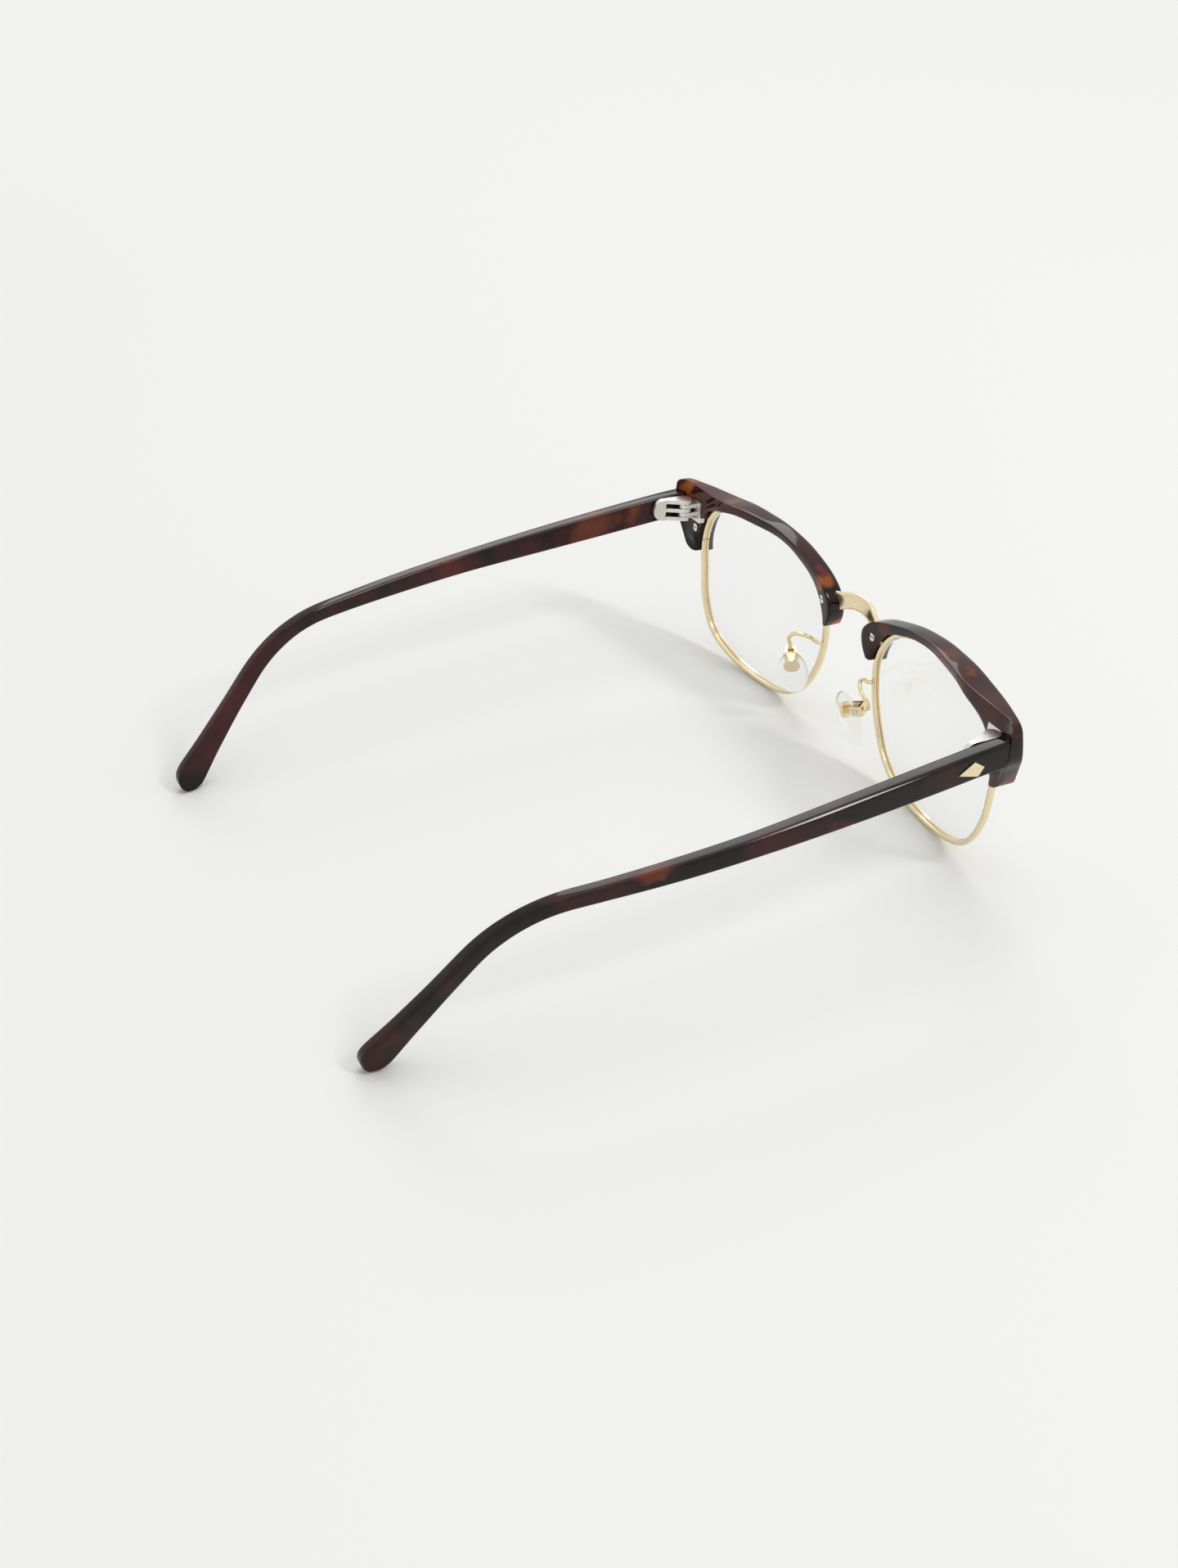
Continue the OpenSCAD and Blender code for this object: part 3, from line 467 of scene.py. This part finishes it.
def cut_recess(piece, centre, direction, radius, depth):
    """Round recess cut into the piece along direction, in millimetres of radius and depth."""
    bm = bmesh.new()
    bmesh.ops.create_cone(bm, cap_ends=True, segments=40, radius1=radius * MM, radius2=radius * MM,
                          depth=2 * depth * MM)
    mesh = bpy.data.meshes.new("cutter")
    bm.to_mesh(mesh)
    bm.free()
    cutter = bpy.data.objects.new("cutter", mesh)
    bpy.context.scene.collection.objects.link(cutter)
    turn = Vector((0, 0, 1)).rotation_difference(Vector(direction)).to_matrix().to_4x4()
    cutter.matrix_world = Matrix.Translation(centre) @ turn
    mod = piece.modifiers.new("recess", "BOOLEAN")
    mod.object = cutter
    mod.operation = "DIFFERENCE"
    mod.solver = "EXACT"
    bake(piece)
    bpy.data.objects.remove(cutter)


NOSE_SCREW = (BRIDGE_WIDTH / 2 - 0.3, 15.9 * SCALE_Z)
NOSE_SCREW_ANGLE = 150
LOBE_SCREW = edge(24) + Vector((1.6, 0.6))
LOBE_SCREW_ANGLE = 21
HEAD_RADIUS = 1.05
HEAD_DEPTH = 0.3


def make_brow(side, word):
    last = len(BROW_KNOTS) - 1
    count = 60
    end_ring = 0.08
    middle = [last * i / count for i in range(1, count)]
    stops = [0, end_ring] + middle + [last - end_ring, last]
    rings = [[placed(tipped(p), side) for p in brow_ring(s)] for s in stops]
    verts, faces = swept(rings, caps=BROW_CAP)
    piece = mesh_piece("acetate_brow_" + word, verts, faces, BROW_MATERIAL, levels=2)
    for (x, z), angle in ((NOSE_SCREW, NOSE_SCREW_ANGLE), (LOBE_SCREW, LOBE_SCREW_ANGLE)):
        spot = placed(tipped((x, rear_depth(angle, x, z), z)), side)
        cut_recess(piece, spot, tipped((0, 1, 0)), HEAD_RADIUS, HEAD_DEPTH)
    piece.data.set_sharp_from_angle(angle=math.radians(40))
    finish_piece(piece, "front", "acetate", "brow_" + word)


# Temple path in upright millimetres, from level with the hinge screw and a little above it
PATH_RISE = 0.35
PATH_START = Vector((PIN_WORLD[0], PIN_WORLD[1] + PATH_RISE))
ARC_LENGTH = math.radians(EAR_BEND) * EAR_RADIUS
TIP_LENGTH = TEMPLE_LENGTH * 0.2
STRAIGHT = TEMPLE_LENGTH - ARC_LENGTH - TIP_LENGTH
TIP_ROUND = 4.4
HEIGHTS = [(0, 6.3), (0.13, 6.2), (0.25, 5.7), (0.4, 4.6), (0.5, 4.25), (0.6, 3.6), (0.7, 3.5),
           (0.78, 3.8), (0.86, 4.3), (0.93, 5.5), (1, 7.6)]


def heading(angle):
    """Unit direction back and down at the given slope."""
    a = math.radians(angle)
    return Vector((math.cos(a), -math.sin(a)))


def path_angle(s):
    return TEMPLE_SLOPE + EAR_BEND * share((s - STRAIGHT) / ARC_LENGTH)


def path(s):
    """Middle of the temple (y, z) at length s: straight, round the ear, straight again."""
    start = heading(TEMPLE_SLOPE)
    if s <= STRAIGHT:
        return PATH_START + s * start
    now = heading(path_angle(s))
    turn = Vector((start.y - now.y, now.x - start.x))
    return PATH_START + STRAIGHT * start + EAR_RADIUS * turn + max(0, s - STRAIGHT - ARC_LENGTH) * now


def lookup(x, table):
    """Value at x on straight lines through the table."""
    for (x0, y0), (x1, y1) in zip(table, table[1:]):
        if x <= x1:
            return y0 + (y1 - y0) * (x - x0) / (x1 - x0)
    return table[-1][1]


def half_height(s):
    e = max(0, s - (TEMPLE_LENGTH - TIP_ROUND)) / TIP_ROUND
    return 0.5 * lookup(s / TEMPLE_LENGTH, HEIGHTS) * math.sqrt(max(0, 1 - e * e))


BOW_LENGTH = 50
BOW_Y = PIN_WORLD[0] + BOW_LENGTH
BOW_OUT = 0.8
REACH_Y = path(TEMPLE_LENGTH).x - BOW_Y


def outer_x(y):
    """Outer face of the temple: it bows out a little and then runs in towards the tip."""
    if y < BOW_Y:
        return CORNER_X + BOW_OUT - BOW_OUT * ((BOW_Y - y) / BOW_LENGTH) ** 2
    return CORNER_X + BOW_OUT - (TIP_INSET + BOW_OUT) * ((y - BOW_Y) / REACH_Y) ** 2


# Flat bevel along the outer edges, and how much its corners are softened
BEVEL = 0.62
EDGE_ROUND = 0.1
INNER_BEVEL = 0.5
TIP_THINNER = 0.6


def temple_ring(s):
    """Section of the temple at length s, square to its path."""
    c = path(s)
    a = math.radians(path_angle(s))
    up = Vector((math.sin(a), math.cos(a)))
    h = half_height(s)
    x = outer_x(c.x)
    t = TEMPLE_THICK - TIP_THINNER * s / TEMPLE_LENGTH
    v = min(BEVEL, h * 0.4)
    u = min(INNER_BEVEL, h * 0.35)
    e = EDGE_ROUND * v / BEVEL
    quarter = [(x, h - v - e), (x - 0.7 * e, h - v + 0.7 * e), (x - v + 0.7 * e, h - 0.7 * e),
               (x - v - e, h), (x - t + u + e, h), (x - t + 0.3 * u, h - 0.3 * u), (x - t, h - u - e)]
    section = quarter + [(q[0], -q[1]) for q in reversed(quarter)]
    return [[q[0], c.x + q[1] * up.x, c.y + q[1] * up.y] for q in section]


def mitred(ring, back=0.0):
    """The ring moved onto the mitre face, or the step back behind it."""
    gap = MITRE_GAP * math.hypot(1, MITRE_RISE)
    out = []
    for x, y, z in ring:
        depth = SEAT_Y + max(0, x - INNER_X) * MITRE_RISE + gap + back
        out.append([x, (depth - TILT_SIN * z) / TILT_COS, z])
    return out


def make_temple(side, word):
    first = 4
    bend_lead = 6
    straight_stops = [first + (STRAIGHT - bend_lead - first) * i / 14 for i in range(15)]
    tip_start = TEMPLE_LENGTH - TIP_ROUND
    bend_reach = tip_start - STRAIGHT + bend_lead
    bend_stops = [STRAIGHT - bend_lead + bend_reach * i / 22 for i in range(1, 23)]
    end_stops = [tip_start + TIP_ROUND * e for e in (0.3, 0.55, 0.75, 0.9, 0.97, 0.995)]
    front = temple_ring(first)
    rings = [mitred(front), mitred(front, 0.04), mitred(front, 0.3)]
    rings += [temple_ring(s) for s in straight_stops + bend_stops + end_stops]
    verts, faces = swept([[placed(p, side) for p in ring] for ring in rings])
    piece = mesh_piece("acetate_temple_" + word, verts, faces, TEMPLE_MATERIAL[side], levels=2)
    finish_piece(piece, "temple_" + word, "acetate", "temple_" + word)


# The rim is split at this angle, with half of the split to either side
SPLIT_ANGLE = 18
SPLIT_HALF = 0.25


def make_rim(side, word):
    """Grooved wire once round the lens edge, from one side of the split to the other."""
    section = [(RIM_OUT, -0.42), (RIM_OUT - 0.1, -0.66), (RIM_OUT - 0.3, -HALF_DEPTH),
               (RIM_IN + 0.12, -HALF_DEPTH), (RIM_IN, -0.7), (RIM_IN, -0.42), (0, -0.28), (0, 0.28),
               (RIM_IN, 0.42), (RIM_IN, 0.7), (RIM_IN + 0.12, HALF_DEPTH),
               (RIM_OUT - 0.3, HALF_DEPTH), (RIM_OUT - 0.1, 0.66), (RIM_OUT, 0.42)]
    count = 200
    start = SPLIT_ANGLE + SPLIT_HALF
    step = (360 - 2 * SPLIT_HALF) / (count - 1)
    rings = [[placed(tipped(at_edge(start + step * i, n, w)), side) for n, w in section]
             for i in range(count)]
    verts, faces = swept(rings)
    piece = mesh_piece("rim_wire_" + word, verts, faces, GOLD, sharp=50)
    finish_piece(piece, "front", "gold", "rim_" + word)


LENS_CLEAR = 0.08


def make_lens(side, word):
    """Two curved sheets joined at the edge, just inside the rim."""
    around = 128
    levels = 14
    steps = [i / levels for i in range(1, levels + 1)]
    limit = RIM_IN - LENS_CLEAR
    verts = []
    faces = []

    def sheet(radius):
        centre = len(verts)
        depth = curve(*EDGE_MIDDLE, radius)
        verts.append(placed(tipped((EDGE_MIDDLE[0], depth, EDGE_MIDDLE[1])), side))
        for f in steps:
            for i in range(around):
                a = 360 * i / around
                p = edge(a) + limit * edge_out(a)
                x = EDGE_MIDDLE[0] + f * (p.x - EDGE_MIDDLE[0])
                z = EDGE_MIDDLE[1] + f * (p.y - EDGE_MIDDLE[1])
                verts.append(placed(tipped((x, curve(x, z, radius), z)), side))
        for i in range(around):
            j = (i + 1) % around
            faces.append((centre, centre + 1 + i, centre + 1 + j))
            for r in range(len(steps) - 1):
                a = centre + 1 + r * around
                b = a + around
                faces.append((a + i, b + i, b + j, a + j))
        return centre + 1 + (len(steps) - 1) * around

    front_rim = sheet(LENS_CURVE + LENS_THICK / 2)
    back_rim = sheet(LENS_CURVE - LENS_THICK / 2)
    for i in range(around):
        j = (i + 1) % around
        faces.append((front_rim + i, front_rim + j, back_rim + j, back_rim + i))
    piece = mesh_piece("lens_sheet_" + word, verts, faces, CLEAR_LENS, sharp=40)
    finish_piece(piece, "front", "lens", "lens_" + word)


# Half of the bridge: x, middle y, top z and height
BRIDGE_ROWS = [
    (0, -1.1, 20.2, 4.1), (3, -0.85, 19.9, 4.2), (5.5, -0.2, 19.2, 4.5), (7.6, 0.5, 18.6, 4.8),
    (9.6, 1.1, 18.1, 4.6), (11.2, 1.35, 17.3, 3.6), (12.3, 1.5, 16.4, 2.4)
]
BRIDGE_THICK = 1.2
BRIDGE_EDGE = 0.22


def make_bridge():
    knots = [(-x, y, z, h) for x, y, z, h in reversed(BRIDGE_ROWS[1:])] + list(BRIDGE_ROWS)
    last = len(knots) - 1
    half = BRIDGE_THICK / 2
    e = BRIDGE_EDGE
    count = 40
    rings = []
    for i in range(count + 1):
        x, y, top, height = along(knots, last * i / count)
        low = top - height
        section = [(y - half + e, top), (y + half - e, top), (y + half, top - e), (y + half, low + e),
                   (y + half - e, low), (y - half + e, low), (y - half, low + e), (y - half, top - e)]
        rings.append([placed(tipped((x, w, z)), 1) for w, z in section])
    verts, faces = swept(rings)
    piece = mesh_piece("bridge_strip", verts, faces, GOLD, levels=1)
    finish_piece(piece, "front", "gold", "bridge")


# Nose pads and their arms
PAD_PIVOT = Vector((BRIDGE_WIDTH / 2 + 3.3, 7.5, 0))
PAD_SPLAY = 28
PAD_LEAN = 20
PAD_FLARE = 14
PAD_TURN = (Matrix.Rotation(math.radians(-PAD_FLARE), 3, "Y")
            @ Matrix.Rotation(math.radians(-PAD_LEAN), 3, "X")
            @ Matrix.Rotation(math.radians(-PAD_SPLAY), 3, "Z"))
PAD_CENTRE = Vector((-3.1, 0, -2.6))
PAD_LENGTH = 15
PAD_WIDTH = 7.6
PAD_THICK = 2.6
PAD_TAPER = 0.12

# Rings of the pad from its outer face to its nose side: share of its size, share of half its thickness
PAD_RINGS = [(0.3, 1.0), (0.72, 1.0), (0.93, 0.75), (1.0, 0.2), (0.95, -0.35), (0.78, -0.75),
             (0.45, -0.95), (0.15, -1.0)]


def make_pad(side, word):
    count = 24
    rings = []
    for scale, depth in PAD_RINGS:
        ring = []
        for i in range(count):
            a = 2 * math.pi * i / count
            width = math.cos(a) * (1 - PAD_TAPER * math.sin(a)) * scale * PAD_WIDTH / 2
            length = math.sin(a) * scale * PAD_LENGTH / 2
            p = PAD_CENTRE + Vector((depth * PAD_THICK / 2, width, length))
            ring.append(placed(tipped(PAD_PIVOT + PAD_TURN @ p), side))
        rings.append(ring)
    verts, faces = swept(rings)
    piece = mesh_piece("soft_pad_" + word, verts, faces, CLEAR_PAD, levels=2)
    finish_piece(piece, "pad_" + word, "pad", "nose_pad_" + word)


ARM_RADIUS = 0.5
FOOT_WIDER = 0.2
FOOT_LENGTH = 0.8
FOOT = Vector(at_edge(176, 0.25, HALF_DEPTH + 0.03))
PAD_OUT = PAD_TURN @ Vector((1, 0, 0))
ARM_KNOTS = [
    FOOT + Vector((0, 0.1, 0)), FOOT + Vector((0.1, 1.3, 0.15)), FOOT + Vector((0.7, 3.1, 1.5)),
    FOOT + Vector((1.9, 4.9, 2.1)), FOOT + Vector((3.4, 6, 1.8)), FOOT + Vector((4.8, 6.2, 0.4)),
    PAD_PIVOT + Vector((2.7, -0.7, 2.9)), PAD_PIVOT + 3 * PAD_OUT, PAD_PIVOT + 1.86 * PAD_OUT
]

# Never along the wire, so that its cross product with the wire's direction gives the sections
ARM_SIDE = Vector((0, -0.6, 0.8))


def make_arm(side, word):
    last = len(ARM_KNOTS) - 1
    count = 72
    near = 0.05
    sides = 16
    rings = []
    for i in range(count):
        s = last * i / (count - 1)
        ahead = Vector(along(ARM_KNOTS, min(s + near, last)))
        behind = Vector(along(ARM_KNOTS, max(s - near, 0)))
        d = (ahead - behind).normalized()
        a = d.cross(ARM_SIDE).normalized()
        b = d.cross(a)
        c = Vector(along(ARM_KNOTS, s))
        q = ARM_RADIUS + FOOT_WIDER * max(0, 1 - s / FOOT_LENGTH)
        ring = []
        for k in range(sides):
            t = 2 * math.pi * k / sides
            ring.append(placed(tipped(c + q * (math.cos(t) * a + math.sin(t) * b)), side))
        rings.append(ring)
    verts, faces = swept(rings)
    piece = mesh_piece("arm_wire_" + word, verts, faces, GOLD, sharp=60)
    finish_piece(piece, "front", "gold", "pad_arm_" + word)


PLAQUE_START = 6.2
PLAQUE_GAP = 0.03
PLAQUE_RAKE = 0.016


def make_plaque(side, word):
    """Kite of thin metal with rounded edges on the temple's outer face."""
    c = path(PLAQUE_START)
    face = outer_x(path(PLAQUE_START + 3).x) + PLAQUE_GAP
    outline = [(0, 0), (2.4, 1.9), (6.3, -0.1), (1.5, -1.9)]
    slope = math.radians(TEMPLE_SLOPE)
    middle = (2.55, -0.02)
    verts = []
    for x, inset in ((0, 0.0), (0.25, 0.0), (0.36, 0.05), (0.4, 0.16)):
        for y, z in outline:
            gap = Vector((middle[0] - y, middle[1] - z))
            y1 = y + gap.x * inset / 2
            z1 = z + gap.y * inset / 2
            along_y = y1 * math.cos(slope) + z1 * math.sin(slope)
            up_z = z1 * math.cos(slope) - y1 * math.sin(slope)
            verts.append(placed((face + x + PLAQUE_RAKE * y1, c.x + along_y, c.y + up_z), side))
    faces = [(0, 1, 2, 3), (12, 13, 14, 15)]
    for level in range(3):
        for j in range(4):
            k = (j + 1) % 4
            faces.append((level * 4 + j, level * 4 + k, level * 4 + 4 + k, level * 4 + 4 + j))
    piece = mesh_piece("kite_plaque_" + word, verts, faces, GOLD, sharp=20)
    finish_piece(piece, "temple_" + word, "gold", "plaque_" + word)


make_bridge()
for side, word in ((1, "left"), (-1, "right")):
    make_brow(side, word)
    make_temple(side, word)
    make_rim(side, word)
    make_lens(side, word)
    make_pad(side, word)
    make_arm(side, word)
    make_plaque(side, word)

KEPT = {
    "gold": ["rim_lock_left", "rim_lock_right", "pad_box_left", "pad_box_right",
             "pad_core_left", "pad_core_right"],
    "steel": ["lock_screws", "brow_screws", "pad_screws", "hinge_front_left", "hinge_front_right",
              "hinge_temple_left", "hinge_temple_right", "hinge_screw_left", "hinge_screw_right",
              "temple_core_left", "temple_core_right"]
}
for kind, material in (("gold", GOLD), ("steel", SILVER)):
    for name in KEPT[kind]:
        node = frame["nodes"][name]
        if not node.material_slots:
            node.data.materials.append(material)
        for place in node.material_slots:
            place.material = material


# Floor, light and camera

def seen_directly(tree):
    """1 for what the camera, metal and glass see, 0 for the light that falls on things."""
    ray = add_node(tree, "ShaderNodeLightPath")
    direct = math_node(tree, "MAXIMUM", ray.outputs["Is Camera Ray"], ray.outputs["Is Glossy Ray"])
    return math_node(tree, "MAXIMUM", direct, ray.outputs["Is Transmission Ray"])


PALE = (0.888, 0.888, 0.875)

# Sizes of the floor in metres
FADE_START = 0.35
FADE_END = 0.8
FLOOR_HALF = 4
FLOOR_DROP = 0.0001


def make_floor():
    """Pale floor that keeps the shadows near the glasses and runs into the background further out."""
    mat, tree, shader = new_material("pale_floor")
    place = object_place(tree)
    grain = noise_at(tree, place, 3, detail=2)
    tint = ramp(tree, grain.outputs["Fac"], [(0.3, tuple(0.997 * c for c in PALE)), (0.7, PALE)])
    tree.links.new(tint, shader.inputs["Base Color"])
    shader.inputs["Roughness"].default_value = 0.9
    shader.inputs["Specular IOR Level"].default_value = 0.1
    away = add_node(tree, "ShaderNodeVectorMath", operation="LENGTH")
    tree.links.new(place, away.inputs[0])
    fade = add_node(tree, "ShaderNodeMapRange", interpolation_type="SMOOTHSTEP")
    fade.inputs["From Min"].default_value = FADE_START
    fade.inputs["From Max"].default_value = FADE_END
    tree.links.new(away.outputs["Value"], fade.inputs["Value"])
    glow = add_node(tree, "ShaderNodeEmission")
    glow.inputs["Color"].default_value = (*PALE, 1)
    glow.inputs["Strength"].default_value = 1
    shown = math_node(tree, "MULTIPLY", fade.outputs["Result"], seen_directly(tree))
    both = add_node(tree, "ShaderNodeMixShader")
    tree.links.new(shown, both.inputs["Fac"])
    tree.links.new(shader.outputs["BSDF"], both.inputs[1])
    tree.links.new(glow.outputs["Emission"], both.inputs[2])
    tree.links.new(both.outputs["Shader"], tree.nodes["Material Output"].inputs["Surface"])
    size = FLOOR_HALF
    corners = [(-size, -size, 0), (size, -size, 0), (size, size, 0), (-size, size, 0)]
    mesh = bpy.data.meshes.new("floor")
    mesh.from_pydata(corners, [], [(0, 1, 2, 3)])
    mesh.materials.append(mat)
    floor = bpy.data.objects.new("floor", mesh)
    floor.location = (0, 0, -FLOOR_DROP)
    bpy.context.scene.collection.objects.link(floor)


def add_lamp(name, location, size, power):
    """Rectangular lamp that points at the glasses."""
    lamp = bpy.data.lights.new(name, "AREA")
    lamp.shape = "RECTANGLE"
    lamp.size = size[0]
    lamp.size_y = size[1]
    lamp.energy = power
    obj = bpy.data.objects.new(name, lamp)
    obj.location = location
    obj.rotation_euler = (-Vector(location)).to_track_quat("-Z", "Y").to_euler()
    bpy.context.scene.collection.objects.link(obj)


WORLD_LEVEL = 0.63

# Lamps: name, place and size in metres, power in watts
LAMPS = [
    ("overhead", (0.1, -0.3, 1.6), (1.3, 1.3), 5.5),
    ("window", (-0.95, -0.65, 1.2), (0.16, 0.42), 5.2),
    ("far_side", (1.3, -0.75, 1.1), (0.9, 0.6), 4)
]


def make_light():
    world = bpy.data.worlds.new("studio")
    bpy.context.scene.world = world
    world.use_nodes = True
    tree = world.node_tree
    lit = tree.nodes["Background"]
    lit.inputs["Color"].default_value = (1, 1, 0.99, 1)
    lit.inputs["Strength"].default_value = WORLD_LEVEL
    seen = add_node(tree, "ShaderNodeBackground")
    seen.inputs["Color"].default_value = (*PALE, 1)
    seen.inputs["Strength"].default_value = 1
    both = add_node(tree, "ShaderNodeMixShader")
    tree.links.new(seen_directly(tree), both.inputs["Fac"])
    tree.links.new(lit.outputs["Background"], both.inputs[1])
    tree.links.new(seen.outputs["Background"], both.inputs[2])
    tree.links.new(both.outputs["Shader"], tree.nodes["World Output"].inputs["Surface"])
    for name, location, size, power in LAMPS:
        add_lamp(name, location, size, power)


# The photo's height and the focal length in its pixels, and the sensor in millimetres
IMAGE_HEIGHT = 1916
FOCAL_PIXELS = 2450
SENSOR = 36

# Camera place in upright millimetres, and its turn as an axis times an angle in radians
CAMERA_FROM_FRONT = (-330.4, 243.3, 238.5)
CAMERA_TURN = Vector((1.24093299, -2.06040361, 1.10527521))


def make_camera():
    data = bpy.data.cameras.new("camera")
    data.sensor_width = SENSOR
    data.sensor_fit = "AUTO"
    data.lens = FOCAL_PIXELS * SENSOR / IMAGE_HEIGHT
    data.clip_start = 0.01
    camera = bpy.data.objects.new("camera", data)
    rows = Matrix.Rotation(CAMERA_TURN.length, 3, CAMERA_TURN)
    turn = Matrix((rows[0], -rows[1], -rows[2])).transposed()
    camera.matrix_world = Matrix.Translation(placed(CAMERA_FROM_FRONT, 1)) @ turn.to_4x4()
    bpy.context.scene.collection.objects.link(camera)
    bpy.context.scene.camera = camera


make_floor()
make_light()
make_camera()
bpy.context.scene.view_settings.view_transform = "Standard"
